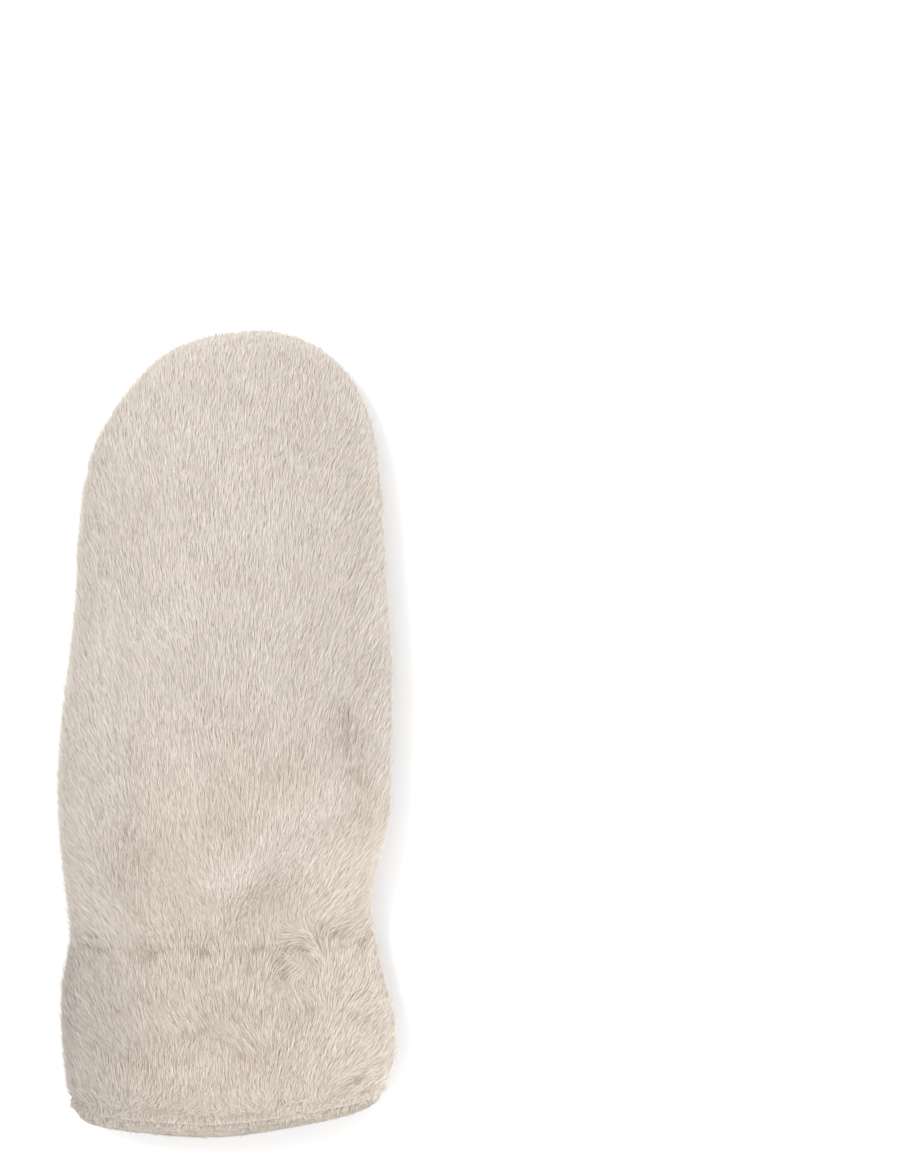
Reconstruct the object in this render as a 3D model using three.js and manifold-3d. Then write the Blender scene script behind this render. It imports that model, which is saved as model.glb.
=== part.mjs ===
// A fur-pile mitten lying palm down on a surface, in millimetres, +Z up.
// +Y runs from the open cuff to the fingertips and +X is the side of the thumb, which is folded
// flat under the palm. The origin is on the surface, below the middle of the mitten's outline.
// Pieces: a back panel and a palm panel that meet at the side seam, a flared cuff below the
// gathered wrist, a lining that shows in the cuff's mouth and is turned out as a band at the hem,
// and a thumb pocket open to the palm.
import * as THREE from "three";
import { mergeVertices } from "three/addons/utils/BufferGeometryUtils.js";
import Module from "manifold-3d";

// Driving dimensions
const handLength = 206.5; // wrist seam to fingertips
const handWidth = 112;
const wristWidth = 102.8;
const wristShift = -1.4; // the wrist's middle, beside the hand's
const cuffLength = 64; // wrist seam to the lowest point of the hem
const cuffWidth = 112;
const hemBand = 5.4; // the lining is turned out past the pile by this much at the hem
const hemInset = 1.5; // how far the band lies inside the pile's outline
const furWall = 5; // backing and lying pile
const liningWall = 1.7;
const cavityHeight = 19; // free height inside the hand
const edgeRadius = 17; // how far in from the outline the back rounds over
const restRadius = 13; // how far in from the outline the underside leaves the surface
const thumbLength = 92;
const thumbRootWidth = 44;
const thumbTipWidth = 37;
const thumbThickness = 14.5;
const thumbWall = 4.2;
const thumbEdgeRadius = 8;
const thumbAcross = 12; // the thumb hole's middle, towards +X from the hand's middle
const thumbAbove = 50; // the thumb hole's middle, above the wrist seam
const thumbLean = 4; // degrees that the thumb leans towards +X
const thumbHoleWidth = 29;
const thumbHoleLength = 33;
const thumbMargin = 2.5; // the palm stays level this far past the thumb's sides
const thumbFall = 15; // and comes down to the surface over this length
const foldDepth = 3.2; // the deepest folds and dents
const lockDepth = 0.7; // relief of the lying locks of pile
const lockLength = 27;
const lockWidth = 15;
const clearance = 0.3; // between pieces that touch

// Shares that give the soft form
const seamShare = 0.42; // height of the side seam, as a share of the mitten's thickness
const domeDrop = 0.12; // how much lower the back is at its sides than along its middle
const thumbLift = 0.6; // how much of the thumb's thickness raises the back
const crownAcross = 5; // the middle of the raised part, towards +X from the hand's middle
const crownReach = 78; // from there to where the raised part ends
const innerFold = 0.6; // how much of a fold shows on a wall's inner side
const tipAcross = 0.17; // the fingertips' highest point, as a share of half the hand's width
const outerCrowding = 0.4; // how far points crowd towards the ends of a row, 0 to 1
const innerCrowding = 0.6; // the same inside the cuff, where the corners are tighter

// The hand's outline. at: share of handLength from the wrist; left and right: shares of half of
// handWidth; cavity: share of cavityHeight. The wrist's own width comes before the first row.
const handRows = [
  { at: 0.03, left: -0.94, right: 0.86, cavity: 0.7 },
  { at: 0.065, left: -0.955, right: 0.855, cavity: 0.76 },
  { at: 0.1, left: -0.97, right: 0.873, cavity: 0.83 },
  { at: 0.14, left: -0.985, right: 0.904, cavity: 0.88 },
  { at: 0.18, left: -1.0, right: 0.949, cavity: 0.94 },
  { at: 0.23, left: -1.01, right: 0.98, cavity: 0.98 },
  { at: 0.3, left: -1.005, right: 0.978, cavity: 1 },
  { at: 0.38, left: -0.98, right: 0.982, cavity: 1 },
  { at: 0.47, left: -0.938, right: 0.985, cavity: 1 },
  { at: 0.56, left: -0.903, right: 0.96, cavity: 0.98 },
  { at: 0.66, left: -0.892, right: 0.938, cavity: 0.93 },
  { at: 0.75, left: -0.858, right: 0.917, cavity: 0.86 },
  { at: 0.82, left: -0.783, right: 0.883, cavity: 0.78 },
  { at: 0.875, left: -0.667, right: 0.83, cavity: 0.7 },
  { at: 0.92, left: -0.542, right: 0.747, cavity: 0.62 },
  { at: 0.956, left: -0.41, right: 0.627, cavity: 0.56 },
  { at: 0.984, left: -0.2, right: 0.462, cavity: 0.5 },
];
const wristCavity = 0.67; // share of cavityHeight at the gathered wrist
const tipCavity = 0.48;

// The cuff's sides. at: share of the way to the hem; left and right: shares of half of cuffWidth.
const cuffRows = [
  { at: 0.12, left: -0.97, right: 0.916, cavity: 0.74 },
  { at: 0.25, left: -0.992, right: 0.949, cavity: 0.82 },
  { at: 0.4, left: -0.994, right: 0.985, cavity: 0.88 },
  { at: 0.55, left: -0.985, right: 1.004, cavity: 0.89 },
  { at: 0.7, left: -0.976, right: 1.005, cavity: 0.85 },
  { at: 0.8, left: -0.966, right: 0.984, cavity: 0.79 },
  { at: 0.9, left: -0.944, right: 0.953, cavity: 0.71 },
  { at: 1, left: -0.938, right: 0.95, cavity: 0.62 },
];

// The hem's line. across: share of half of cuffWidth; reach: share of cuffLength.
const hemRows = [
  { across: -1.1, reach: 0.91 },
  { across: -0.86, reach: 0.942 },
  { across: -0.65, reach: 0.966 },
  { across: -0.4, reach: 0.986 },
  { across: -0.16, reach: 1 },
  { across: 0.08, reach: 0.99 },
  { across: 0.32, reach: 0.962 },
  { across: 0.56, reach: 0.925 },
  { across: 0.8, reach: 0.884 },
  { across: 0.94, reach: 0.846 },
  { across: 1.1, reach: 0.78 },
];

// Folds (negative depth) and swells (positive) of the back. Each runs from (x1, y1) to (x2, y2),
// with x in shares of half of handWidth and y in shares of handLength from the wrist seam;
// width: share of handWidth; depth: share of foldDepth.
const foldRows = [
  // hollow beside the thumb
  { x1: 0.72, y1: 0.4, x2: 0.8, y2: 0.25, width: 0.052, depth: -1.1 },
  // arched crease over the knuckles
  { x1: -0.33, y1: 0.372, x2: 0.24, y2: 0.345, width: 0.035, depth: -0.45 },
  { x1: -0.36, y1: 0.4, x2: 0.22, y2: 0.39, width: 0.04, depth: 0.3 },
  // fan of folds that rises from the gathered wrist
  { x1: 0.06, y1: 0.09, x2: 0.56, y2: 0.23, width: 0.07, depth: 0.5 },
  { x1: 0.1, y1: 0.05, x2: 0.7, y2: 0.175, width: 0.04, depth: -0.35 },
  { x1: -0.06, y1: 0.01, x2: -0.06, y2: 0.12, width: 0.035, depth: 0.5 },
  { x1: -0.46, y1: 0.05, x2: -0.83, y2: 0.26, width: 0.045, depth: -0.65 },
  { x1: -0.48, y1: 0.02, x2: -0.7, y2: 0.14, width: 0.045, depth: 0.5 },
  { x1: -0.22, y1: 0.02, x2: -0.32, y2: 0.12, width: 0.035, depth: -0.4 },
  { x1: 0.12, y1: 0.01, x2: 0.22, y2: 0.08, width: 0.035, depth: -0.45 },
  { x1: 0.5, y1: 0.03, x2: 0.68, y2: 0.08, width: 0.05, depth: 0.45 },
  // gathers along the wrist seam
  { x1: -0.84, y1: -0.004, x2: -0.76, y2: -0.006, width: 0.04, depth: -0.9 },
  { x1: -0.47, y1: -0.018, x2: -0.4, y2: -0.012, width: 0.03, depth: -0.8 },
  { x1: -0.15, y1: -0.02, x2: -0.11, y2: -0.016, width: 0.03, depth: -0.5 },
  { x1: 0.13, y1: -0.02, x2: 0.18, y2: -0.015, width: 0.03, depth: -0.5 },
  { x1: 0.35, y1: -0.034, x2: 0.44, y2: -0.012, width: 0.032, depth: -1.1 },
  { x1: 0.62, y1: 0.018, x2: 0.7, y2: 0.014, width: 0.034, depth: -0.7 },
  // creases of the cuff
  { x1: -0.62, y1: -0.2, x2: -0.14, y2: -0.185, width: 0.035, depth: -0.4 },
  { x1: -0.3, y1: -0.165, x2: -0.12, y2: -0.135, width: 0.03, depth: -0.4 },
  { x1: 0.02, y1: -0.175, x2: 0.22, y2: -0.13, width: 0.035, depth: -0.55 },
  { x1: 0.4, y1: -0.09, x2: 0.46, y2: -0.11, width: 0.035, depth: -0.5 },
  { x1: 0.62, y1: -0.245, x2: 0.9, y2: -0.2, width: 0.028, depth: -0.5 },
  { x1: 0.2, y1: -0.09, x2: 0.26, y2: -0.16, width: 0.05, depth: 0.35 },
];

// Mesh density
const backCells = 32;
const palmCells = 24;
const innerCells = 14;
const liningCells = 18;
const backRowSteps = 2;
const palmRowSteps = 3;
const cuffSteps = 14;
const cuffInnerSteps = 7;
const thumbCells = 12;
const thumbSteps = 20;
const holeSegments = 10;

// Sizes that follow
const handWall = furWall + clearance + liningWall;
const wristY = cuffLength - (cuffLength + handLength) / 2;
const pileShare = 1 - hemBand / cuffLength; // share of the way to the hem where the cuff's pile ends
const thumbHole = new THREE.Vector2(thumbAcross, wristY + thumbAbove);
const thumbDirection = new THREE.Vector2(0, 1).rotateAround(
  new THREE.Vector2(),
  -THREE.MathUtils.degToRad(thumbLean),
);
const thumbStraight = thumbLength - (thumbRootWidth + thumbTipWidth) / 2;
const thumbRecess = thumbThickness + clearance;

const { clamp, lerp, smoothstep } = THREE.MathUtils;

// A smooth function through a table's rows, by cubic Hermite steps.
function through(rows, key, column) {
  const slope = (i) => {
    const before = rows[Math.max(i - 1, 0)];
    const after = rows[Math.min(i + 1, rows.length - 1)];
    return (after[column] - before[column]) / (after[key] - before[key]);
  };
  return (value) => {
    const t = clamp(value, rows[0][key], rows.at(-1)[key]);
    let i = 0;
    while (i < rows.length - 2 && t > rows[i + 1][key]) i += 1;
    const step = rows[i + 1][key] - rows[i][key];
    const s = (t - rows[i][key]) / step;
    const rise = rows[i + 1][column] - rows[i][column];
    const a = slope(i) * step - rise;
    const b = rise - slope(i + 1) * step;
    return rows[i][column] + s * rise + s * (1 - s) * ((1 - s) * a + s * b);
  };
}

// A quarter circle's rise: 0 at an edge and 1 from one radius inwards.
function rounded(distance, radius) {
  const inward = 1 - clamp(distance / radius, 0, 1);
  return Math.sqrt(1 - inward * inward);
}

function distanceToSegment(x, y, x1, y1, x2, y2) {
  const lengthSquared = (x2 - x1) ** 2 + (y2 - y1) ** 2;
  const along = ((x - x1) * (x2 - x1) + (y - y1) * (y2 - y1)) / lengthSquared;
  const t = clamp(along, 0, 1);
  return Math.hypot(x - lerp(x1, x2, t), y - lerp(y1, y2, t));
}

// Height that all folds add at a point of the back.
function folds(x, y) {
  let height = 0;
  for (const row of foldRows) {
    const distance = distanceToSegment(
      x,
      y,
      (row.x1 * handWidth) / 2,
      wristY + row.y1 * handLength,
      (row.x2 * handWidth) / 2,
      wristY + row.y2 * handLength,
    );
    const share = distance / (row.width * handWidth);
    height += row.depth * foldDepth * Math.exp(-share * share);
  }
  return height;
}

// Relief of the locks: each rises towards the fingertips and drops at its tip, and the locks fan
// outwards from the middle of the wrist.
function locks(x, y) {
  const fan = x * (1 - 0.25 * smoothstep(y, wristY, wristY + handLength));
  const column = fan / lockWidth;
  const row = y / lockLength + 0.5 * Math.floor(column) + 0.21 * Math.sin(2.3 * Math.floor(column));
  const across = Math.sin(Math.PI * (column - Math.floor(column)));
  return lockDepth * across * (row - Math.floor(row) - 0.5);
}

// Height of the palm's underside over the thumb.
function recess(x, y) {
  const distance = distanceToSegment(
    x,
    y,
    thumbHole.x,
    thumbHole.y,
    thumbHole.x + thumbDirection.x * thumbStraight,
    thumbHole.y + thumbDirection.y * thumbStraight,
  );
  const level = Math.max(thumbRootWidth, thumbTipWidth) / 2 + thumbMargin;
  return thumbRecess * (1 - smoothstep(distance, level, level + thumbFall));
}

// How much the thumb raises the back, as a broad crown that ends at the wrist and fingertips.
function lift(x, y) {
  const fromWrist = smoothstep(y - wristY, 0, thumbAbove);
  const fromTips = 1 - smoothstep(y, thumbHole.y + thumbStraight, wristY + handLength);
  const fromSides = 1 - smoothstep(Math.abs(x - crownAcross), 0, crownReach);
  return thumbLift * thumbRecess * fromWrist * fromTips * fromSides;
}

const wristRow = {
  at: 0,
  left: (2 * wristShift - wristWidth) / handWidth,
  right: (2 * wristShift + wristWidth) / handWidth,
  cavity: wristCavity,
};
const cuffWristRow = {
  at: 0,
  left: (2 * wristShift - wristWidth) / cuffWidth,
  right: (2 * wristShift + wristWidth) / cuffWidth,
  cavity: wristCavity,
};
const fullHandRows = [wristRow, ...handRows, { at: 1, cavity: tipCavity }];
const fullCuffRows = [cuffWristRow, ...cuffRows];
const handCavity = through(fullHandRows, "at", "cavity");
const cuffCavity = through(fullCuffRows, "at", "cavity");
const cuffLeft = through(fullCuffRows, "at", "left");
const cuffRight = through(fullCuffRows, "at", "right");
const hemReach = through(hemRows, "across", "reach");

// Plan outline of the hand, up its left side, over the fingertips and down its right side.
const sidePoint = (row, side) =>
  new THREE.Vector2((row[side] * handWidth) / 2, wristY + row.at * handLength);
const sideRows = [wristRow, ...handRows];
const handOutline = new THREE.SplineCurve([
  ...sideRows.map((row) => sidePoint(row, "left")),
  new THREE.Vector2((tipAcross * handWidth) / 2, wristY + handLength),
  ...sideRows.toReversed().map((row) => sidePoint(row, "right")),
]);
const outlineSamples = handOutline.getPoints(sideRows.length * 16);

function distanceToOutline(x, y) {
  let least = Infinity;
  for (let i = 1; i < outlineSamples.length; i += 1) {
    const a = outlineSamples[i - 1];
    const b = outlineSamples[i];
    least = Math.min(least, distanceToSegment(x, y, a.x, a.y, b.x, b.y));
  }
  return least;
}

// The outline's point at t, moved inwards by inset.
function outlinePoint(t, inset) {
  const point = handOutline.getPoint(t);
  const tangent = handOutline.getTangent(t);
  return new THREE.Vector2(point.x + tangent.y * inset, point.y - tangent.x * inset);
}

// Spreads points across a row, closer together near its ends, and most of all inside the cuff.
const spread = (share, crowding) =>
  0.5 + 0.5 * lerp(2 * share - 1, Math.sin((share - 0.5) * Math.PI), crowding);

const handThickness = (y) =>
  2 * handWall + cavityHeight * handCavity((y - wristY) / handLength);

// A point of the back or palm at a share across and a share up the hand, inset from the outside.
function handPoint(side, across, up, inset) {
  const left = outlinePoint(up / 2, inset);
  const right = outlinePoint(1 - up / 2, inset);
  const plan = left.lerp(right, spread(across, outerCrowding));
  const atEdge = across === 0 || across === 1 || up === 1;
  if (up === 0) plan.y = wristY + clearance / 2;
  plan.y = Math.max(plan.y, wristY + clearance / 2);
  const { x, y } = plan;
  const thickness = handThickness(y);
  const seam = seamShare * thickness;
  const distance = atEdge ? 0 : Math.max(distanceToOutline(x, y) - inset, 0);
  const fold = inset > 0 ? innerFold : 1;
  if (side === "back") {
    const rise = rounded(distance, edgeRadius - inset);
    const dome = 1 - domeDrop * (2 * across - 1) ** 2;
    const relief = inset > 0 ? 0 : locks(x, y);
    const top = (thickness - inset - seam) * dome + lift(x, y) + fold * folds(x, y) + relief;
    return new THREE.Vector3(x, y, seam + clearance / 2 + rise * top);
  }
  const rise = rounded(distance, restRadius - inset / 2);
  const low = lerp(seam - clearance / 2, recess(x, y) + inset, rise);
  return new THREE.Vector3(x, y, low);
}

// A point round the cuff at a share round and a share down to the hem. round runs over the back
// from left to right and then under the palm side from right to left.
function cuffPoint(round, down, inset) {
  const onBack = round <= 0.5;
  const across = onBack ? 2 * round : 2 - 2 * round;
  const half = cuffWidth / 2;
  const left = cuffLeft(down) * half;
  const right = cuffRight(down) * half;
  const place = spread(across, inset > 0 ? innerCrowding : outerCrowding);
  const x = lerp(left + inset, right - inset, place);
  const thickness = 2 * handWall + cavityHeight * cuffCavity(down);
  const seam = seamShare * thickness;
  const distance = Math.min(x - left, right - x) - inset;
  const rise = rounded(distance, onBack ? edgeRadius - inset : restRadius - inset / 2);
  const outerX = lerp(left, right, place);
  const length = cuffLength * hemReach(outerX / half) - clearance / 2;
  const y = wristY - clearance / 2 - down * length;
  if (!onBack) return new THREE.Vector3(x, y, lerp(seam, inset, rise));
  const dome = 1 - domeDrop * (2 * across - 1) ** 2;
  const fold = inset > 0 ? innerFold : 1;
  const relief = inset > 0 ? 0 : locks(x, y);
  const top = (thickness - inset - seam) * dome + fold * folds(x, y) + relief;
  return new THREE.Vector3(x, y, seam + rise * top);
}

// A point of the thumb's upper or lower half, in the thumb's own frame: its hole is at the
// origin and it points along +Y.
function thumbPoint(half, across, up, inset) {
  const rootRadius = thumbRootWidth / 2 - inset;
  const tipRadius = thumbTipWidth / 2 - inset;
  const capShare = 0.32;
  const straightShare = clamp((up - capShare) / (1 - 2 * capShare), 0, 1);
  const rootTurn = (Math.PI / 2) * (1 - clamp(up / capShare, 0, 1));
  const tipTurn = (Math.PI / 2) * clamp((up - 1 + capShare) / capShare, 0, 1);
  const radius = lerp(rootRadius, tipRadius, straightShare);
  const reach = up === 0 || up === 1 ? 0 : radius * Math.cos(rootTurn) * Math.cos(tipTurn);
  const y =
    thumbStraight * straightShare - rootRadius * Math.sin(rootTurn) + tipRadius * Math.sin(tipTurn);
  const x = lerp(-reach, reach, spread(across, outerCrowding));
  const atEdge = across === 0 || across === 1 || up === 0 || up === 1;
  const along = clamp(y / thumbStraight, 0, 1);
  const fromAxis = distanceToSegment(x, y, 0, 0, 0, thumbStraight);
  const distance = atEdge ? 0 : Math.max(lerp(rootRadius, tipRadius, along) - fromAxis, 0);
  const rise = rounded(distance, thumbEdgeRadius - inset / 2);
  const middle = thumbThickness / 2;
  const end = half === "upper" ? thumbThickness - inset : inset;
  return new THREE.Vector3(x, y, lerp(middle, end, rise));
}

// A grid of points from a function of two shares.
function grid(columns, rows, pointAt) {
  return Array.from({ length: rows + 1 }, (_, j) =>
    Array.from({ length: columns + 1 }, (_, i) => pointAt(i / columns, rows ? j / rows : 0)),
  );
}

function gridTriangles(points) {
  const triangles = [];
  for (let j = 1; j < points.length; j += 1) {
    for (let i = 1; i < points[j].length; i += 1) {
      const [a, b] = [points[j - 1][i - 1], points[j - 1][i]];
      const [c, d] = [points[j][i], points[j][i - 1]];
      const byFirst = Math.abs(a.z - c.z) < Math.abs(b.z - d.z);
      triangles.push(...(byFirst ? [[a, b, c], [a, c, d]] : [[a, b, d], [b, c, d]]));
    }
  }
  return triangles;
}

// Triangles between two rows of points that may differ in number.
function bandTriangles(first, second) {
  const triangles = [];
  let i = 0;
  let j = 0;
  while (i < first.length - 1 || j < second.length - 1) {
    const nextFirst = (i + 1) / (first.length - 1);
    const nextSecond = (j + 1) / (second.length - 1);
    if (nextFirst <= nextSecond) {
      triangles.push([first[i], first[i + 1], second[j]]);
      i += 1;
    } else {
      triangles.push([first[i], second[j + 1], second[j]]);
      j += 1;
    }
  }
  return triangles;
}

const firstColumn = (points) => points.map((row) => row[0]);
const lastColumn = (points) => points.map((row) => row.at(-1));

// One closed surface from loose triangles: points that coincide are merged, triangles that
// collapse are left out, neighbours are turned the same way and the whole faces outwards.
function closedGeometry(triangles) {
  const numbers = new Map();
  const corners = [];
  const numberOf = (p) => {
    const key = [p.x, p.y, p.z].map((value) => Math.round(value * 1e3)).join();
    if (!numbers.has(key)) {
      numbers.set(key, corners.length);
      corners.push(p);
    }
    return numbers.get(key);
  };
  const faces = triangles
    .map((triangle) => triangle.map(numberOf))
    .filter(([a, b, c]) => a !== b && b !== c && c !== a);
  const facesAtEdge = new Map();
  const edgesOf = ([a, b, c]) => [[a, b], [b, c], [c, a]];
  const edgeKey = ([a, b]) => (a < b ? `${a},${b}` : `${b},${a}`);
  faces.forEach((face, index) => {
    for (const edge of edgesOf(face)) {
      const key = edgeKey(edge);
      facesAtEdge.set(key, [...(facesAtEdge.get(key) ?? []), index]);
    }
  });
  const turned = new Array(faces.length).fill(false);
  const waiting = [0];
  turned[0] = true;
  while (waiting.length) {
    const index = waiting.pop();
    for (const [a, b] of edgesOf(faces[index])) {
      for (const other of facesAtEdge.get(edgeKey([a, b]))) {
        if (turned[other]) continue;
        const sameWay = edgesOf(faces[other]).some(([c, d]) => c === a && d === b);
        if (sameWay) faces[other].reverse();
        turned[other] = true;
        waiting.push(other);
      }
    }
  }
  const volume = faces.reduce(
    (sum, [a, b, c]) => sum + corners[a].dot(corners[b].clone().cross(corners[c])),
    0,
  );
  if (volume < 0) faces.forEach((face) => face.reverse());
  const geometry = new THREE.BufferGeometry().setFromPoints(corners);
  geometry.setIndex(faces.flat());
  geometry.computeVertexNormals();
  return geometry;
}

// A wall between an outer and an inner grid that share their border's course.
function panelGeometry(outer, inner) {
  return closedGeometry([
    ...gridTriangles(outer),
    ...gridTriangles(inner),
    ...bandTriangles(outer[0], inner[0]),
    ...bandTriangles(outer.at(-1), inner.at(-1)),
    ...bandTriangles(firstColumn(outer), firstColumn(inner)),
    ...bandTriangles(lastColumn(outer), lastColumn(inner)),
  ]);
}

// A sleeve between an outer and an inner grid whose rows run all the way round.
function sleeveGeometry(outer, inner) {
  return closedGeometry([
    ...gridTriangles(outer),
    ...gridTriangles(inner),
    ...bandTriangles(outer[0], inner[0]),
    ...bandTriangles(outer.at(-1), inner.at(-1)),
  ]);
}

const wasm = await Module();
wasm.setup();

// A closed geometry as a solid that can be cut.
function solidOf(geometry) {
  const bare = new THREE.BufferGeometry();
  bare.setAttribute("position", geometry.getAttribute("position"));
  bare.setIndex(geometry.getIndex());
  const merged = mergeVertices(bare, 1e-4);
  return new wasm.Manifold(
    new wasm.Mesh({
      numProp: 3,
      vertProperties: new Float32Array(merged.getAttribute("position").array),
      triVerts: new Uint32Array(merged.getIndex().array),
    }),
  );
}

function geometryOf(solid) {
  const mesh = solid.getMesh();
  const geometry = new THREE.BufferGeometry();
  geometry.setAttribute("position", new THREE.BufferAttribute(mesh.vertProperties, 3));
  geometry.setIndex(new THREE.BufferAttribute(mesh.triVerts, 1));
  geometry.computeVertexNormals();
  return geometry;
}

// The thumb's place in the mitten
const thumbPlace = new THREE.Matrix4()
  .makeRotationZ(-THREE.MathUtils.degToRad(thumbLean))
  .setPosition(thumbHole.x, thumbHole.y, 0);

// The oval way from the palm into the thumb, in the thumb's own frame, from height low to high.
function thumbHoleGeometry(low, high) {
  const oval = new THREE.Shape();
  oval.absellipse(0, 0, thumbHoleWidth / 2, thumbHoleLength / 2, 0, 2 * Math.PI);
  const geometry = new THREE.ExtrudeGeometry(oval, {
    depth: high - low,
    bevelEnabled: false,
    curveSegments: holeSegments * 2,
  });
  return geometry.translate(0, 0, low);
}

// Back panel, from side seam to side seam over the back of the hand
const rowCount = fullHandRows.length - 1;
function backGeometry() {
  const outer = grid(backCells, rowCount * backRowSteps, (i, j) => handPoint("back", i, j, 0));
  const inner = grid(innerCells, rowCount, (i, j) => handPoint("back", i, j, handWall));
  return panelGeometry(outer, inner);
}

// Palm panel, level over the thumb, with the thumb's hole cut through it
function palmGeometry() {
  const outer = grid(palmCells, rowCount * palmRowSteps, (i, j) => handPoint("palm", i, j, 0));
  const inner = grid(innerCells, rowCount, (i, j) => handPoint("palm", i, j, handWall));
  const hole = thumbHoleGeometry(0, thumbRecess + 2 * handWall).applyMatrix4(thumbPlace);
  return geometryOf(solidOf(panelGeometry(outer, inner)).subtract(solidOf(hole)));
}

// Cuff, the sleeve of pile below the wrist, and its lining, which is turned out at the hem into a
// band that covers the cuff's cut end
const cuffCells = backCells + palmCells;
function cuffGeometry() {
  const outer = grid(cuffCells, cuffSteps, (i, j) => cuffPoint(i, j * pileShare, 0));
  const cells = 2 * liningCells;
  const inner = grid(cells, cuffInnerSteps, (i, j) => cuffPoint(i, j * pileShare, furWall));
  return sleeveGeometry(outer, inner);
}

function liningGeometry() {
  const cells = 2 * liningCells;
  const ring = (down, inset) => grid(cells, 0, (i) => cuffPoint(i, down, inset))[0];
  const bandStart = pileShare + (1.5 * clearance) / cuffLength;
  const bandAt = (share) => lerp(bandStart, 1, share);
  const outer = [
    ...grid(cells, cuffInnerSteps, (i, j) => cuffPoint(i, j * bandStart, furWall + clearance)),
    ring(bandStart, hemInset),
    ring(bandAt(0.4), hemInset),
    ring(bandAt(0.8), hemInset + 0.12 * hemBand),
    ring(1, hemInset + 0.4 * hemBand),
  ];
  const inner = [
    ...grid(cells, cuffInnerSteps, (i, j) => cuffPoint(i, j * bandStart, handWall)),
    ring(bandAt(0.5), handWall),
    ring(1, handWall - 0.2 * liningWall),
  ];
  return sleeveGeometry(outer, inner);
}

// Thumb pocket, a closed hollow that opens upwards into the palm
function thumbGeometry() {
  const pocket = (cells, steps, inset) => {
    const upper = grid(cells, steps, (i, j) => thumbPoint("upper", i, j, inset));
    const lower = grid(cells, steps, (i, j) => thumbPoint("lower", i, j, inset));
    return solidOf(closedGeometry([...gridTriangles(upper), ...gridTriangles(lower)]));
  };
  const way = solidOf(thumbHoleGeometry(thumbThickness / 2, 2 * thumbThickness));
  const outside = pocket(thumbCells, thumbSteps, 0);
  const inside = pocket(thumbCells - 2, thumbSteps - 6, thumbWall);
  return geometryOf(outside.subtract(inside).subtract(way));
}

const furMaterial = new THREE.MeshStandardMaterial({ color: "#dbcfc3", roughness: 0.95, metalness: 0 });
const palmMaterial = new THREE.MeshStandardMaterial({ color: "#d8ccc0", roughness: 0.95, metalness: 0 });
const liningMaterial = new THREE.MeshStandardMaterial({ color: "#d2c5b8", roughness: 1, metalness: 0 });

function piece(name, geometry, material) {
  const mesh = new THREE.Mesh(geometry, material);
  mesh.name = name;
  return mesh;
}

const thumb = piece("thumb", thumbGeometry(), palmMaterial);
thumb.position.set(thumbHole.x, thumbHole.y, 0);
thumb.rotation.z = -THREE.MathUtils.degToRad(thumbLean);

const mitten = new THREE.Group();
mitten.name = "mitten";
mitten.add(
  piece("back_panel", backGeometry(), furMaterial),
  piece("palm_panel", palmGeometry(), palmMaterial),
  piece("cuff", cuffGeometry(), furMaterial),
  piece("lining", liningGeometry(), liningMaterial),
  thumb,
);

export default mitten;
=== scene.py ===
"""A pile-covered mitten lying palm down on a white surface, in plain soft studio light.

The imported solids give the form. Each piece gets a cloth backing just inside its solid, and a coat
of hairs that lie along the solid's surface: one thin triangle a hair, joined into a few meshes.
"""
from typing import NamedTuple

import bpy
import numpy as np
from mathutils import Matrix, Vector
from mathutils.bvhtree import BVHTree
from mathutils.kdtree import KDTree


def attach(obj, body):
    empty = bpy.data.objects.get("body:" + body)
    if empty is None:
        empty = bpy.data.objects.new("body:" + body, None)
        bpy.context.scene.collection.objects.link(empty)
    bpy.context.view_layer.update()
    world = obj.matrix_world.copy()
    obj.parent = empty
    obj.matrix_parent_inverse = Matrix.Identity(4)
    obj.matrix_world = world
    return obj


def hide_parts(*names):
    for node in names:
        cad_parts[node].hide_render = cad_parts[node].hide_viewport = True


MM = 0.001
UP = np.array([0.0, 0.0, 1.0])

PILE_NODES = ["back_panel", "palm_panel", "cuff", "thumb"]
HAIRS_A_MESH = 200000

# Places on the mitten, in millimetres in the part's frame
WRIST_Y = -71.2
HALF_WIDTH = 56.0
CUFF_LENGTH = 64.0
MOUTH_REACH = 16.0  # the inside of the lining has a nap up to this far above the hem
FRINGE_REACH = 5.0  # the cuff's pile is twice as dense up to this far above the hem
SEAM_REACH = 0.8  # corners of two pieces this near meet at a seam

# The backing at the hem, in millimetres above it or shares of its usual depth
HEM_ZONE = 6.0
HEM_SINK = (0.8, 0, 0.8)
HEM_EDGE = 2.0
HEM_DROP = 0.25  # closes most of the gap to the band below

# Hairs to the square millimetre
BACK_DENSITY = 16.5
UNDER_DENSITY = 8.0
BAND_DENSITY = 20.0
MOUTH_DENSITY = 4.0
UNDER_FROM = -0.35  # a face whose normal points lower than this is on the underside

# Linear colours
HAIR_TIP = np.array([0.72, 0.656, 0.594])
# the roots are darker: painted shade deep in the pile
HAIR_ROOT = np.array([0.55, 0.485, 0.425])
UNDERCOAT = (0.58, 0.52, 0.46)
LINING = (0.53, 0.475, 0.42)


class Coat(NamedTuple):
    """A kind of pile, in millimetres. tone is its share of the hairs' red, green and blue."""

    length: tuple
    width: tuple
    depth: float
    tone: tuple


FUR = Coat(length=(5.0, 9.0), width=(0.10, 0.19), depth=1.6, tone=(1.0, 1.0, 1.0))
NAP = Coat(length=(1.0, 1.9), width=(0.09, 0.15), depth=0.6, tone=(0.71, 0.685, 0.66))

# Small tufts that lean to a common point, and larger locks that lie the same way
CLUMP_SIZE = 1.0
CLUMP_MARGIN = 0.2  # a tuft's point keeps this share of its size from the tuft's sides
CLUMP_PULL = 0.3
LOCK_SIZE = 5.0

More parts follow.
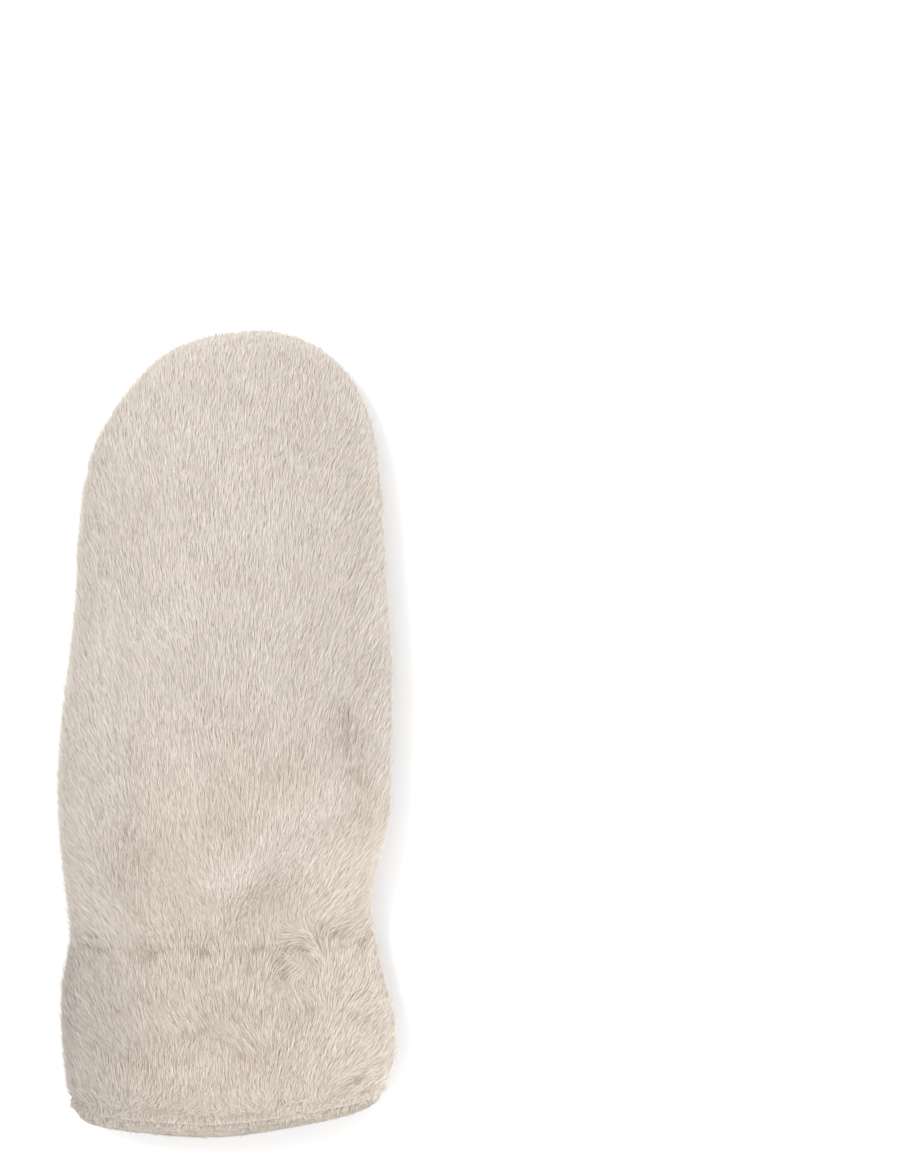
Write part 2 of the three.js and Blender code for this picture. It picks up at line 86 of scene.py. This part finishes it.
# How the pile fans out sideways, in degrees where the mitten is widest
TIP_FAN = 12
WRIST_FAN = 42  # more than at the fingertips
FAN_FADE = 34.0  # millimetres above the wrist
CUFF_FAN = 34
HEM_FAN = 8  # less than at the wrist
RIGHT_BRIM = 28
LEFT_BRIM = 14
UNDER_FAN = 0.4  # share of it on the underside

# How far single hairs turn from that, in degrees
SLOW_WANDER = 9
QUICK_WANDER = 7
LOCK_TURN = 5
CLUMP_TURN = 9
HAIR_TURN = 5.5
HEM_TURN = 28.0

# Hairs that hang over the hem, the share of them there and their share of the usual length
HANGING = 0.85
HANGING_LENGTH = (0.25, 0.55)

# How hairs stand, in millimetres off the surface for the long pile
RISE = (-1.1, 0.35)
CLUMP_RISE = 0.4
STRAY_SHARE = 0.14
STRAY_RISE = (0.3, 1.5)
END_RISE = 1.2  # where the pile points away from the surface, at the fingertips
PARTED_SINK = 0.6  # share of the pile's depth
FLOOR_GAP = (0.05, 0.9)
EDGE_AT = 0.7  # the widest place of a hair, as a share of the way to its tip
EDGE_FLOOR_GAP = 0.04
ROLL = 0.8  # radians either way

# The gathered line at the wrist, in millimetres
GATHER_DEPTH = 0.55
GATHER_WIDTH = 0.8
SCALLOP_HEIGHT = 1.3
SCALLOP_LENGTH = 5.2
SCALLOP_DROP = 0.8

# Painted light and shade by place, a warmer tone low down, and tones of single hairs, as shares of the
# hairs' colour
# painted shade: darker to the left, more so low down and on the cuff, and where the pile faces left
LEFT_PAINTED_SHADE = 0.07
LEFT_LOW_PAINTED_SHADE = 0.08
LEFT_CUFF_PAINTED_SHADE = 0.10
LEFT_RIM_PAINTED_SHADE = 0.1
# painted light: lighter at the lower right, where the pile faces right, low on the hand and near the
# hem
RIGHT_LOW_PAINTED_LIGHT = 0.09
RIGHT_RIM_PAINTED_LIGHT = 0.08
LOW_PAINTED_LIGHT = 0.03
HEM_PAINTED_LIGHT = 0.06
WARMTH = (0, 0.015, 0.035)  # taken off red, green and blue
# painted highlight on hairs where a parting's depth is below 0
SWELL_LIGHT = 0.09
HAIR_SPOTS = 0.06
CLUMP_SPOTS = 0.08
# soft patches of painted light and shade, in place of waves in the pile
CLOUDS = 0.03
DULL_SHARE = 0.06
DULL_CUFF_SHARE = 0.1  # more than that on the cuff
DULL_TONE = 0.68
# painted shade on hairs where the pile parts
PARTED_SHADE_SHARE = 0.45
PARTED_PAINTED_SHADE = 0.6
PARTED_PAINTED_DIM = 0.04  # the rest of the hairs there
DULL_COLOUR = (0.85, 1.0, 1.2)  # dark hairs are warmer

# Shading normals: the pile's sides let light through, so hairs there are lit from above too
UP_LIT = 0.9
HAIR_LEAN = 0.15
CLUMP_LEAN = 0.12


class Parting(NamedTuple):
    """A line where the pile parts or curls, seen from above, in millimetres."""

    start: tuple
    end: tuple
    half_width: float
    depth: float  # how far it opens, 0 to 1, with painted shade on its hairs, or below 0 for a painted highlight
    turn: float  # how far the hairs turn there, in degrees


PARTINGS = [
    # Pits along the gathered wrist, from the left
    Parting((-46.0, -70.0), (-42.0, -71.5), 2.2, 1.0, 10),
    Parting((-28.0, -73.5), (-20.0, -71.5), 1.8, 0.9, -15),
    Parting((-10.0, -73.5), (-4.0, -72.0), 1.6, 0.8, 15),
    Parting((6.0, -73.0), (11.0, -70.5), 1.6, 0.8, -15),
    # The whorl and its curl
    Parting((18.5, -76.0), (20.5, -80.5), 1.6, 1.0, 60),
    Parting((20.0, -72.5), (27.0, -71.0), 1.6, 0.7, -70),
    Parting((27.0, -71.0), (29.5, -76.0), 1.6, 0.6, -120),
    # Pits at the right of the wrist, and two loops below them
    Parting((33.5, -66.5), (38.5, -65.0), 2.0, 0.8, 30),
    Parting((45.0, -69.0), (50.0, -68.0), 1.6, 0.7, 20),
    Parting((24.0, -93.0), (30.0, -92.0), 1.8, 0.7, -50),
    Parting((43.0, -93.5), (48.0, -95.0), 1.8, 0.6, 30),
    # Creases on the cuff
    Parting((-14.0, -99.5), (-6.0, -97.5), 1.6, 0.7, -30),
    Parting((2.0, -103.5), (9.5, -109.0), 1.8, 0.8, -40),
    Parting((6.0, -99.5), (11.0, -102.0), 1.4, 0.6, -30),
    Parting((-29.0, -111.5), (-10.0, -107.5), 1.4, 0.6, 20),
    Parting((-40.0, -112.0), (-30.0, -112.5), 1.4, 0.3, 15),
    Parting((38.0, -119.0), (47.0, -114.0), 1.5, 0.7, 40),
    # Where the pile parts above the band and shows its roots, with painted shade
    Parting((-30.0, -124.0), (-8.0, -127.0), 1.5, 0.6, 30),
    Parting((-8.0, -127.0), (12.0, -126.0), 1.2, 0.5, -30),
    # Folds above the wrist, a painted highlight over the diagonal crease, the hollow at the right,
    # and a faint line across the hand
    Parting((-33.0, -30.0), (-26.0, -46.0), 1.6, 0.35, 15),
    Parting((-36.0, -44.0), (-28.0, -60.0), 1.6, 0.35, 15),
    Parting((9.0, -52.0), (18.0, -55.0), 1.8, 0.35, 10),
    Parting((6.0, -47.0), (28.0, -38.0), 5.0, -0.9, 0),
    Parting((40.0, 8.0), (47.5, -26.0), 4.6, 0.6, -12),
    Parting((-12.0, 3.0), (14.0, 1.0), 2.0, 0.3, 5),
    # A painted highlight along the ridge across the diagonal fold
    Parting((-2.0, -48.0), (38.0, -20.0), 5.0, -0.8, 0),
]

# Seeds of the noises and of the cells' numbers
WRIST_SALT = 2
SLOW_SALT = 3
QUICK_SALT = 5
LOCK_SALT = 8
CLUMP_SALT = 9
LARGE_CLOUD_SALT = 21
SMALL_CLOUD_SALT = 22
RAGGED_SALT = 31
BROKEN_SALT = 33

HASH_FACTORS = (73856093, 19349663, 83492791, 2654435761)
rng = np.random.default_rng(11)
HASH = rng.random((4096, 4))


def hashed(cells, salt):
    """Four random numbers for each whole-number cell."""
    a, b, c, d = HASH_FACTORS
    index = (cells[:, 0] * a) ^ (cells[:, 1] * b) ^ (cells[:, 2] * c) ^ (salt * d)
    return HASH[index % len(HASH)]


def cells_of(points, size):
    return np.floor(points / size).astype(np.int64)


def noise(points, size, salt):
    """Smooth noise from -1 to 1, three values a point, with features of that size."""
    low = cells_of(points, size)
    f = points / size - low
    f = f * f * (3 - 2 * f)
    total = np.zeros((len(points), 3))
    for corner in np.ndindex(2, 2, 2):
        step = np.array(corner)
        weight = np.prod(np.where(step == 1, f, 1 - f), axis=1)
        total += weight[:, None] * (hashed(low + step, salt)[:, :3] * 2 - 1)
    return total


def smoothstep(value, low, high):
    t = np.clip((value - low) / (high - low), 0, 1)
    return t * t * (3 - 2 * t)


def unit(v):
    return v / np.maximum(np.linalg.norm(v, axis=1, keepdims=True), 1e-9)


def dot(a, b):
    return np.einsum("ij,ij->i", a, b)[:, None]


def node_arrays(node):
    """A node's welded corners, in millimetres, and its triangles."""
    mesh = node.data
    mesh.calc_loop_triangles()
    co = np.zeros(len(mesh.vertices) * 3)
    mesh.vertices.foreach_get("co", co)
    co = co.reshape(-1, 3) / MM
    tri = np.zeros(len(mesh.loop_triangles) * 3, np.int32)
    mesh.loop_triangles.foreach_get("vertices", tri)
    _, first, where = np.unique(np.round(co, 3), axis=0, return_index=True, return_inverse=True)
    tri = where.reshape(-1)[tri].reshape(-1, 3)
    whole = (tri[:, 0] != tri[:, 1]) & (tri[:, 1] != tri[:, 2]) & (tri[:, 2] != tri[:, 0])
    return co[first], tri[whole]


def face_data(co, tri):
    """Each face's middle, normal and area."""
    a, b, c = co[tri[:, 0]], co[tri[:, 1]], co[tri[:, 2]]
    cross = np.cross(b - a, c - a)
    size = np.linalg.norm(cross, axis=1)
    return (a + b + c) / 3, cross / np.maximum(size, 1e-12)[:, None], size / 2


def search_tree(parts):
    """One tree over the corners and faces of several pieces."""
    corners, faces, offset = [], [], 0
    for co, tri in parts:
        corners.append(co)
        faces.append(tri + offset)
        offset += len(co)
    return BVHTree.FromPolygons(np.concatenate(corners).tolist(), np.concatenate(faces).tolist())


def sort_faces(co, tri, everything):
    """Which faces show outside, and which line the hollow. The rest touch a neighbour."""
    start_gap, touching, clear_gap, reach = 0.02, 1.0, 0.4, 400.0
    ways = [Vector(way) for way in ((1, 0, 0), (-1, 0, 0), (0, 0, 1), (0, 0, -1))]
    middle, normal, _ = face_data(co, tri)
    outside = np.zeros(len(tri), bool)
    inside = np.zeros(len(tri), bool)
    for f, (m, n) in enumerate(zip(middle, normal)):
        n = Vector(n)
        if everything.ray_cast(Vector(m) + n * start_gap, n, touching)[0] is not None:
            continue
        start = Vector(m) + n * clear_gap
        closed = all(everything.ray_cast(start, way, reach)[0] is not None for way in ways)
        inside[f] = closed
        outside[f] = not closed
    return outside, inside


def corner_normals(co, tri, chosen):
    """Smooth normals from the chosen faces."""
    _, normal, area = face_data(co, tri[chosen])
    total = np.zeros_like(co)
    for k in range(3):
        np.add.at(total, tri[chosen][:, k], normal * area[:, None])
    return unit(total)


def across_seams(skins):
    """The pieces' normals, made the same for corners that meet at a seam."""
    places = np.concatenate([co for co, _ in skins.values()])
    normals = np.concatenate([normal for _, normal in skins.values()])
    tree = KDTree(len(places))
    for i, place in enumerate(places):
        tree.insert(place, i)
    tree.balance()
    shared = {}
    for name, (co, _) in skins.items():
        near = [[i for _, i, _ in tree.find_range(place, SEAM_REACH)] for place in co]
        shared[name] = unit(np.array([normals[some].sum(axis=0) for some in near]))
    return shared


def hem_line(co, faces):
    """Places across the cuff, and how low its pile reaches at each."""
    step = 3.0
    rim = co[np.unique(faces)]
    across = np.arange(-HALF_WIDTH + 2, HALF_WIDTH, step)
    return across, [rim[np.abs(rim[:, 0] - x) < step, 1].min() for x in across]


def above_hem(points, hem):
    return points[:, 1] - np.interp(points[:, 0], *hem)


def parting_share(points, line, half_width):
    """1 on the line, falling to 0 past its half width."""
    run = np.subtract(line.end, line.start)
    t = np.clip((points[:, :2] - line.start) @ run / (run @ run), 0, 1)
    away = np.linalg.norm(points[:, :2] - line.start - t[:, None] * run, axis=1)
    return np.exp(-((away / half_width) ** 2))


def pile_direction(points, normals, height, clump):
    """The way that the pile lies, before it is laid on the surface: towards the fingertips, and
    fanning out to the sides from the wrist. height is above the hem."""
    x, y = points[:, 0], points[:, 1]
    side = np.clip(x / HALF_WIDTH, -1.1, 1.1)
    wrist = WRIST_Y + 2.5 * noise(points, 9.0, WRIST_SALT)[:, 0]
    spread = np.exp(-np.clip(y - wrist, 0, None) / FAN_FADE)
    brim = np.clip(np.abs(side), 0, 1) ** 3 * np.where(x > 0, RIGHT_BRIM, LEFT_BRIM)
    hand = (TIP_FAN + WRIST_FAN * spread) * side + np.sign(side) * brim * (1 - spread)
    cuff = (CUFF_FAN - HEM_FAN * np.clip((WRIST_Y - y) / CUFF_LENGTH, 0, 1)) * side
    facing_up = smoothstep(normals[:, 2], -0.5, 0.2)
    angle = np.where(y > wrist, hand, cuff) * (UNDER_FAN + (1 - UNDER_FAN) * facing_up)
    angle = angle + noise(points, 26.0, SLOW_SALT)[:, 0] * SLOW_WANDER
    angle = angle + noise(points, 10.0, QUICK_SALT)[:, 0] * QUICK_WANDER
    lock = hashed(cells_of(points, LOCK_SIZE), LOCK_SALT)
    angle = angle + (lock[:, 0] - 0.5) * LOCK_TURN + (clump[:, 0] - 0.5) * CLUMP_TURN
    angle = angle + rng.normal(0, HAIR_TURN, len(points))
    for line in PARTINGS:
        share = parting_share(points, line, 3 * line.half_width)
        angle = angle + line.turn * facing_up * share
    tousled = smoothstep(-height, -8.0, -2.0) * rng.normal(0, HEM_TURN, len(points))
    angle = np.radians(angle + tousled)
    return np.stack([np.sin(angle), np.cos(angle), np.zeros(len(points))], axis=1)


def opening(points, back):
    """How far the pile of the back is parted at each point, up to 1, or below 0 for a painted
    highlight.
    """
    ragged = points + noise(points, 2.2, RAGGED_SALT) * [0.9, 1.1, 0]
    scallops = SCALLOP_HEIGHT * np.abs(np.sin(points[:, 0] / SCALLOP_LENGTH)) - SCALLOP_DROP
    off_line = ragged[:, 1] - WRIST_Y - scallops
    total = GATHER_DEPTH * np.exp(-((off_line / GATHER_WIDTH) ** 2))
    for line in PARTINGS:
        total = total + line.depth * parting_share(ragged, line, line.half_width)
    broken = np.clip(0.65 + 0.5 * noise(points, 3.2, BROKEN_SALT)[:, 0], 0, 1)
    total = total * np.where(total > 0, broken, 1)
    return np.where(back, np.clip(total, -1, 1), 0)


def shade(points, normals):
    """How light the pile is by place, in red, green and blue: painted shade to the left and where it
    faces left, painted light at the lower right, low on the hand and near the hem, painted light where
    it faces right, for light passing through the pile there, and a warmer tone low down."""
    x, y, nx = points[:, 0], points[:, 1], normals[:, 0]
    left = smoothstep(-x, 0.2 * HALF_WIDTH, HALF_WIDTH)
    right = smoothstep(x, 0.25 * HALF_WIDTH, 0.8 * HALF_WIDTH)
    low = smoothstep(-y, 10.0, 50.0)
    on_cuff = smoothstep(-y, 50.0, 95.0)
    near_hem = smoothstep(-y, 104.0, 118.0)
    # painted shade to the left and painted light to the right, low down and near the hem
    light = 1 - left * (LEFT_PAINTED_SHADE + LEFT_LOW_PAINTED_SHADE * low + LEFT_CUFF_PAINTED_SHADE * on_cuff)
    light = light + right * RIGHT_LOW_PAINTED_LIGHT * low + RIGHT_RIM_PAINTED_LIGHT * smoothstep(nx, 0.5, 1.0)
    light = light - LEFT_RIM_PAINTED_SHADE * smoothstep(-nx, 0.4, 1.0)
    light = light + LOW_PAINTED_LIGHT * low * (1 - on_cuff) + HEM_PAINTED_LIGHT * near_hem
    warm = smoothstep(-y, -20.0, 50.0) * (1 - left) * (1 - 0.5 * right)
    return light[:, None] * (1 - warm[:, None] * WARMTH)


def scatter(co, tri, chosen, normals, density):
    """Random points on the chosen faces, with smooth normals."""
    faces = tri[chosen]
    _, _, area = face_data(co, faces)
    count = int(np.sum(area * density))
    pick = rng.choice(len(faces), count, p=area * density / np.sum(area * density))
    u, v = rng.random(count), rng.random(count)
    flip = u + v > 1
    u, v = np.where(flip, 1 - u, u), np.where(flip, 1 - v, v)
    weights = np.stack([1 - u - v, u, v], axis=1)
    points = np.einsum("ij,ijk->ik", weights, co[faces[pick]])
    return points, unit(np.einsum("ij,ijk->ik", weights, normals[faces[pick]]))


def nearest(tree, points):
    place, normal = np.empty_like(points), np.empty_like(points)
    for i, p in enumerate(points):
        place[i], normal[i], _, _ = tree.find_nearest(p)
    return place, normal


def mesh_object(name, co, faces, material):
    mesh = bpy.data.meshes.new(name)
    mesh.vertices.add(len(co))
    mesh.vertices.foreach_set("co", (co * MM).astype(np.float32).ravel())
    mesh.loops.add(faces.size)
    mesh.loops.foreach_set("vertex_index", faces.astype(np.int32).ravel())
    mesh.polygons.add(len(faces))
    mesh.polygons.foreach_set("loop_start", np.arange(0, faces.size, 3, dtype=np.int32))
    mesh.update(calc_edges=True)
    mesh.polygons.foreach_set("use_smooth", np.full(len(faces), True))
    mesh.materials.append(material)
    piece = bpy.data.objects.new(name, mesh)
    bpy.context.scene.collection.objects.link(piece)
    return piece


def hair_corners(points, normals, surface, coat, clump, lit_up, hem):
    """Each hair's root, widest place and tip, with the surface's normal at its tip and how far the
    pile opens there."""
    n = len(points)
    height = above_hem(points, hem)
    way = pile_direction(points, normals, height, clump)
    hanging = rng.random(n) < HANGING * smoothstep(-height, -6.0, -0.5) * (height > -1)
    way[hanging] *= -1
    outward = dot(way, normals)
    along = way - outward * normals
    lying = np.linalg.norm(along, axis=1, keepdims=True)
    along = unit(along)
    size = rng.uniform(*coat.length, (n, 1)) * (0.3 + 0.7 * lying)
    size[hanging] *= rng.uniform(*HANGING_LENGTH, (np.sum(hanging), 1))
    gap = opening(points + along * size * 0.7, normals[:, 2] > -0.2)[:, None]

    tuft = cells_of(points, CLUMP_SIZE) + CLUMP_MARGIN + (1 - 2 * CLUMP_MARGIN) * clump[:, 1:4]
    pull = tuft * CLUMP_SIZE - points
    pull = (pull - dot(pull, normals) * normals) * CLUMP_PULL
    at, facing = nearest(surface, points + along * size * 0.95 + pull)
    stray = rng.random((n, 1)) < STRAY_SHARE
    rise = rng.uniform(*RISE, (n, 1)) + (clump[:, :1] - 0.5) * CLUMP_RISE
    rise = rise + stray * rng.uniform(*STRAY_RISE, (n, 1)) + END_RISE * np.clip(outward, 0, 1)
    sink = PARTED_SINK * coat.depth * np.maximum(gap, 0)
    tip = at + facing * (rise * coat.depth / FUR.depth - sink)
    tip[:, 2] = np.maximum(tip[:, 2], rng.uniform(*FLOOR_GAP, n))
    root = points - normals * coat.depth

    forward = unit(tip - root)
    across = unit(np.cross(forward, normals + lit_up))
    lift = unit(np.cross(across, forward))
    roll = rng.uniform(-ROLL, ROLL, (n, 1))
    blade = (across * np.cos(roll) + lift * np.sin(roll)) * rng.uniform(*coat.width, (n, 1))
    edge = (1 - EDGE_AT) * root + EDGE_AT * tip + blade
    edge[:, 2] = np.maximum(edge[:, 2], EDGE_FLOOR_GAP)
    return np.stack([root, edge, tip], axis=1), facing, gap


def hair_colours(points, normals, coat, clump, gap):
    """Linear colours for each hair's root, widest place and tip."""
    n = len(points)
    spots = 1 + rng.normal(0, HAIR_SPOTS, (n, 1)) + (clump[:, 3:4] - 0.5) * CLUMP_SPOTS
    # clouds: painted light and shade in soft patches, in place of waves in the pile
    clouds = noise(points, 16.0, LARGE_CLOUD_SALT)[:, :1] + noise(points, 5.0, SMALL_CLOUD_SALT)[:, :1]
    on_cuff = smoothstep(-points[:, 1:2], 60.0, 85.0)
    dull = np.where(rng.random((n, 1)) < DULL_SHARE + DULL_CUFF_SHARE * on_cuff, DULL_TONE, 1)
    # painted shade on hairs where the pile parts, and a painted highlight where a parting is below 0
    dark = np.where(rng.random((n, 1)) < PARTED_SHADE_SHARE, PARTED_PAINTED_SHADE, PARTED_PAINTED_DIM)
    dull = dull * (1 + CLOUDS * clouds) * (1 - dark * np.maximum(gap, 0))
    dull = dull * (1 + SWELL_LIGHT * np.maximum(-gap, 0))
    tone = coat.tone * shade(points, normals) * spots * dull**DULL_COLOUR
    tips = np.clip(HAIR_TIP * tone, 0, 1)
    # darker roots: painted shade deep in the pile
    roots = HAIR_ROOT * tone
    colour = np.ones((n, 3, 4))
    for k, value in enumerate((roots, 0.85 * tips + 0.15 * roots, tips)):
        colour[:, k, :3] = value
    return colour


def lay_hairs(name, points, normals, surface, material, coat, hem):
    """One joined mesh of hairs. Each is a long thin triangle from its root to its tip."""
    n = len(points)
    clump = hashed(cells_of(points, CLUMP_SIZE), CLUMP_SALT)
    lit_up = UP_LIT * smoothstep(normals[:, 2], -0.9, -0.1)[:, None] * UP
    corners, tip_facing, gap = hair_corners(points, normals, surface, coat, clump, lit_up, hem)
    piece = mesh_object(name, corners.reshape(-1, 3), np.arange(3 * n).reshape(-1, 3), material)
    lean = lit_up + rng.normal(0, HAIR_LEAN, (n, 3)) + (clump[:, 1:4] - 0.5) * CLUMP_LEAN
    lit = unit(normals + lean)
    facings = np.stack([lit, lit, unit(tip_facing + lean)], axis=1)
    piece.data.normals_split_custom_set_from_vertices(facings.reshape(-1, 3))
    colour = hair_colours(points, normals, coat, clump, gap)
    layer = piece.data.color_attributes.new("pile_colour", "FLOAT_COLOR", "POINT")
    layer.data.foreach_set("color", colour.astype(np.float32).ravel())
    return piece


def pile_material():
    material = bpy.data.materials.new("pile")
    material.use_nodes = True
    nodes, links = material.node_tree.nodes, material.node_tree.links
    shader = nodes["Principled BSDF"]
    colour = nodes.new("ShaderNodeVertexColor")
    colour.layer_name = "pile_colour"
    links.new(colour.outputs["Color"], shader.inputs["Base Color"])
    shader.inputs["Roughness"].default_value = 0.62
    shader.inputs["Specular IOR Level"].default_value = 0.25
    shader.inputs["Sheen Weight"].default_value = 0.2
    shader.inputs["Sheen Roughness"].default_value = 0.5
    return material


def cloth_material(name, colour, scale):
    """A short soft cloth with fine mottling in its colour and height."""
    material = bpy.data.materials.new(name)
    material.use_nodes = True
    nodes, links = material.node_tree.nodes, material.node_tree.links
    shader = nodes["Principled BSDF"]
    place = nodes.new("ShaderNodeTexCoord")
    grain = nodes.new("ShaderNodeTexNoise")
    grain.inputs["Scale"].default_value = scale
    grain.inputs["Detail"].default_value = 6
    ramp = nodes.new("ShaderNodeValToRGB")
    darker, lighter = ramp.color_ramp.elements
    darker.position = 0.3
    lighter.position = 0.7
    darker.color = (*[c * 0.86 for c in colour], 1)
    lighter.color = (*[c * 1.08 for c in colour], 1)
    bump = nodes.new("ShaderNodeBump")
    bump.inputs["Strength"].default_value = 0.5
    bump.inputs["Distance"].default_value = 0.6 * MM
    links.new(place.outputs["Object"], grain.inputs["Vector"])
    links.new(grain.outputs["Fac"], ramp.inputs["Fac"])
    links.new(ramp.outputs["Color"], shader.inputs["Base Color"])
    links.new(grain.outputs["Fac"], bump.inputs["Height"])
    links.new(bump.outputs["Normal"], shader.inputs["Normal"])
    shader.inputs["Roughness"].default_value = 0.95
    shader.inputs["Specular IOR Level"].default_value = 0.1
    shader.inputs["Sheen Weight"].default_value = 0.25
    return material


def add_pile_piece(name, co, tri, sides, normals, surface, materials, hem):
    """A piece's cloth backing, lined inside, and its long pile."""
    outside, inside = sides
    pile, undercoat, lining_cloth = materials
    height = above_hem(co, hem)
    sunk = normals * FUR.depth
    sunk[height < HEM_ZONE] *= HEM_SINK
    skin = co - sunk
    skin[height < HEM_EDGE, 1] -= HEM_DROP
    body = mesh_object(f"{name}_backing", skin, tri, undercoat)
    body.data.materials.append(lining_cloth)
    body.data.polygons.foreach_set("material_index", inside.astype(np.int32))
    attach(body, "root")
    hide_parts(name)

    middle, face_normal, _ = face_data(co, tri[outside])
    density = np.where(face_normal[:, 2] > UNDER_FROM, BACK_DENSITY, UNDER_DENSITY)
    density[above_hem(middle, hem) < FRINGE_REACH] *= 2
    points, facing = scatter(co, tri, outside, normals, density)
    parts = len(points) // HAIRS_A_MESH + 1
    turn = rng.permutation(len(points))
    for k in range(parts):
        some = turn[k::parts]
        label = f"{name}_pile" if parts == 1 else f"{name}_pile_{k + 1}"
        fur = lay_hairs(label, points[some], facing[some], surface, pile, FUR, hem)
        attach(fur, "root")


def add_lining(co, tri, sides, materials, hem):
    """The lining's cloth, with a short nap on the band at the hem and in the mouth."""
    outside, inside = sides
    pile, _, lining_cloth = materials
    normals = corner_normals(co, tri, outside | inside)
    body = mesh_object("lining_cloth", co - normals * 0.5 * NAP.depth, tri, lining_cloth)
    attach(body, "root")
    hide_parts("lining")

    middle, _, _ = face_data(co, tri)
    grown = (outside | inside) & (above_hem(middle, hem) < MOUTH_REACH)
    density = np.where(outside[grown], BAND_DENSITY, MOUTH_DENSITY)
    points, facing = scatter(co, tri, grown, normals, density)
    surface = search_tree([(co, tri[grown])])
    fuzz = lay_hairs("lining_nap", points, facing, surface, pile, NAP, hem)
    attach(fuzz, "root")


def add_floor():
    bpy.ops.mesh.primitive_plane_add(size=6, location=(0, 0, 0))
    floor = bpy.context.object
    floor.name = "floor"
    material = bpy.data.materials.new("white_paper")
    material.use_nodes = True
    shader = material.node_tree.nodes["Principled BSDF"]
    shader.inputs["Base Color"].default_value = (0.93, 0.93, 0.93, 1)
    shader.inputs["Roughness"].default_value = 0.9
    shader.inputs["Specular IOR Level"].default_value = 0.0
    floor.data.materials.append(material)


def add_light(name, place, size, power):
    light = bpy.data.lights.new(name, "AREA")
    light.shape = "DISK"
    light.size = size
    light.energy = power
    lamp = bpy.data.objects.new(name, light)
    bpy.context.scene.collection.objects.link(lamp)
    lamp.location = place
    lamp.rotation_euler = (-Vector(place)).to_track_quat("-Z", "Y").to_euler()


def add_studio():
    """White surroundings, two soft lights, and a camera straight above. The camera stands to the
    right of the mitten and beyond its middle, so the mitten lies low at the left of the frame."""
    scene = bpy.context.scene
    world = bpy.data.worlds.new("studio")
    world.use_nodes = True
    background = world.node_tree.nodes["Background"]
    background.inputs["Color"].default_value = (1, 1, 1, 1)
    background.inputs["Strength"].default_value = 1.2
    scene.world = world
    add_light("key", place=(-0.75, 0.75, 1.7), size=0.5, power=16)
    add_light("fill", place=(1.0, -0.9, 1.5), size=1.5, power=7)
    scene.view_settings.view_transform = "Standard"
    camera = bpy.data.objects.new("camera", bpy.data.cameras.new("camera"))
    scene.collection.objects.link(camera)
    camera.data.lens = 100
    camera.data.sensor_width = 36
    camera.location = (0.0753, 0.0493, 1.1175)
    scene.camera = camera


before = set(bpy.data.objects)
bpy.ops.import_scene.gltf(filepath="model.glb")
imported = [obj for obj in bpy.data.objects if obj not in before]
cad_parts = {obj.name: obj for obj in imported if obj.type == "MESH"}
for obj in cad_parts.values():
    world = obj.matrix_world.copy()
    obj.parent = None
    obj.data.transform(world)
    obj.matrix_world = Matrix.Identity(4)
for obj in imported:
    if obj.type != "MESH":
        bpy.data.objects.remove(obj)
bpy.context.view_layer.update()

meshes = {name: node_arrays(node) for name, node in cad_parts.items()}
everything = search_tree(meshes.values())
sides = {name: sort_faces(co, tri, everything) for name, (co, tri) in meshes.items()}

shown = []
for name in [*PILE_NODES, "lining"]:
    co, tri = meshes[name]
    shown.append((co, tri[sides[name][0]]))
surface = search_tree(shown)

skins = {}
for name in PILE_NODES:
    co, tri = meshes[name]
    skins[name] = co, corner_normals(co, tri, sides[name][0])
shared_normals = across_seams(skins)

cuff_co, cuff_tri = meshes["cuff"]
hem = hem_line(cuff_co, cuff_tri[sides["cuff"][0]])

materials = (
    pile_material(),
    cloth_material("undercoat", UNDERCOAT, scale=900),
    cloth_material("lining_cloth", LINING, scale=1200),
)
for name in PILE_NODES:
    co, tri = meshes[name]
    add_pile_piece(name, co, tri, sides[name], shared_normals[name], surface, materials, hem)
add_lining(*meshes["lining"], sides["lining"], materials, hem)

add_floor()
add_studio()
